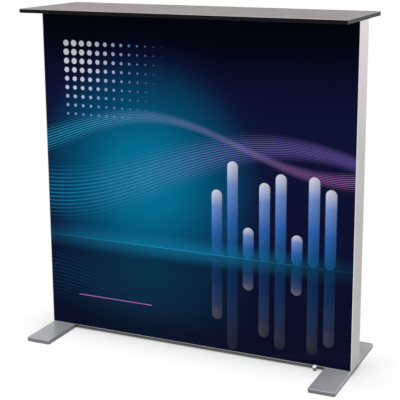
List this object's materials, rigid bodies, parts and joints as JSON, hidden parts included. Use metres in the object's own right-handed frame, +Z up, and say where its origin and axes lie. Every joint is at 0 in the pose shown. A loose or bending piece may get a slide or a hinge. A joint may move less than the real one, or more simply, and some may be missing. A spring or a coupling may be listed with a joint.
{
  "type": "exhibition counter",
  "caption": "Free-standing exhibition counter: slim square aluminium frame with stretched fabric faces, a thin lift-off worktop and flat foot plates on rubber pads.",
  "frame": {"origin": "on the floor under the middle of the counter", "axes": "+X to the right along the front, the front faces -Y, +Z up"},
  "size_m": [1, 0.385, 1.0245],
  "materials": {
    "frame_aluminium": "satin anodised",
    "brace_aluminium": "mill finish",
    "cast_shoe": "tumbled casting",
    "bracket_steel": "zinc plated",
    "screw_steel": "zinc plated",
    "front_print": "knitted polyester, dye printed",
    "rear_print": "knitted polyester, plain dark",
    "strip_silicone": "soft translucent silicone",
    "tab_ribbon": "woven ribbon",
    "foot_powder_coat": "fine silver grey powder coat",
    "pad_rubber": "moulded",
    "worktop_board": "fibreboard",
    "worktop_laminate": "fine textured high pressure laminate",
    "worktop_edging": "extruded edge band",
    "stud_steel": "zinc plated",
    "insert_brass": "knurled and turned"
  },
  "bodies": {
    "stand": {"bottom_left_front_bracket": "bracket_steel", "bottom_left_rear_bracket": "bracket_steel", "bottom_rail": "frame_aluminium", "bottom_right_front_bracket": "bracket_steel", "bottom_right_rear_bracket": "bracket_steel", "brace_bottom_shoe": "cast_shoe", "brace_screws": "screw_steel", "brace_slot_nuts": "screw_steel", "brace_top_shoe": "cast_shoe", "bracket_grub_screws": "screw_steel", "centre_brace": "brace_aluminium", "foot_screws": "screw_steel", "front_bottom_silicone_strip": "strip_silicone", "front_graphic": "front_print", "front_left_silicone_strip": "strip_silicone", "front_pull_tab": "tab_ribbon", "front_right_silicone_strip": "strip_silicone", "front_top_silicone_strip": "strip_silicone", "left_foot": "foot_powder_coat", "left_foot_pads": "pad_rubber", "left_nut_plate": "bracket_steel", "left_upright": "frame_aluminium", "rear_bottom_silicone_strip": "strip_silicone", "rear_graphic": "rear_print", "rear_left_silicone_strip": "strip_silicone", "rear_pull_tab": "tab_ribbon", "rear_right_silicone_strip": "strip_silicone", "rear_top_silicone_strip": "strip_silicone", "right_foot": "foot_powder_coat", "right_foot_pads": "pad_rubber", "right_nut_plate": "bracket_steel", "right_upright": "frame_aluminium", "top_left_front_bracket": "bracket_steel", "top_left_rear_bracket": "bracket_steel", "top_rail": "frame_aluminium", "top_right_front_bracket": "bracket_steel", "top_right_rear_bracket": "bracket_steel"},
    "worktop": {"worktop_core": "worktop_board", "worktop_front_edge_band": "worktop_edging", "worktop_left_edge_band": "worktop_edging", "worktop_rear_edge_band": "worktop_edging", "worktop_right_edge_band": "worktop_edging", "worktop_studs": "stud_steel", "worktop_top_laminate": "worktop_laminate", "worktop_under_laminate": "worktop_laminate", "stud_inserts": "insert_brass"}
  },
  "joints": [
    {"name": "worktop_lift", "type": "slide", "parent": "stand", "child": "worktop", "axis": [0, 0, 1], "range_m": [0, 0.03]}
  ]
}
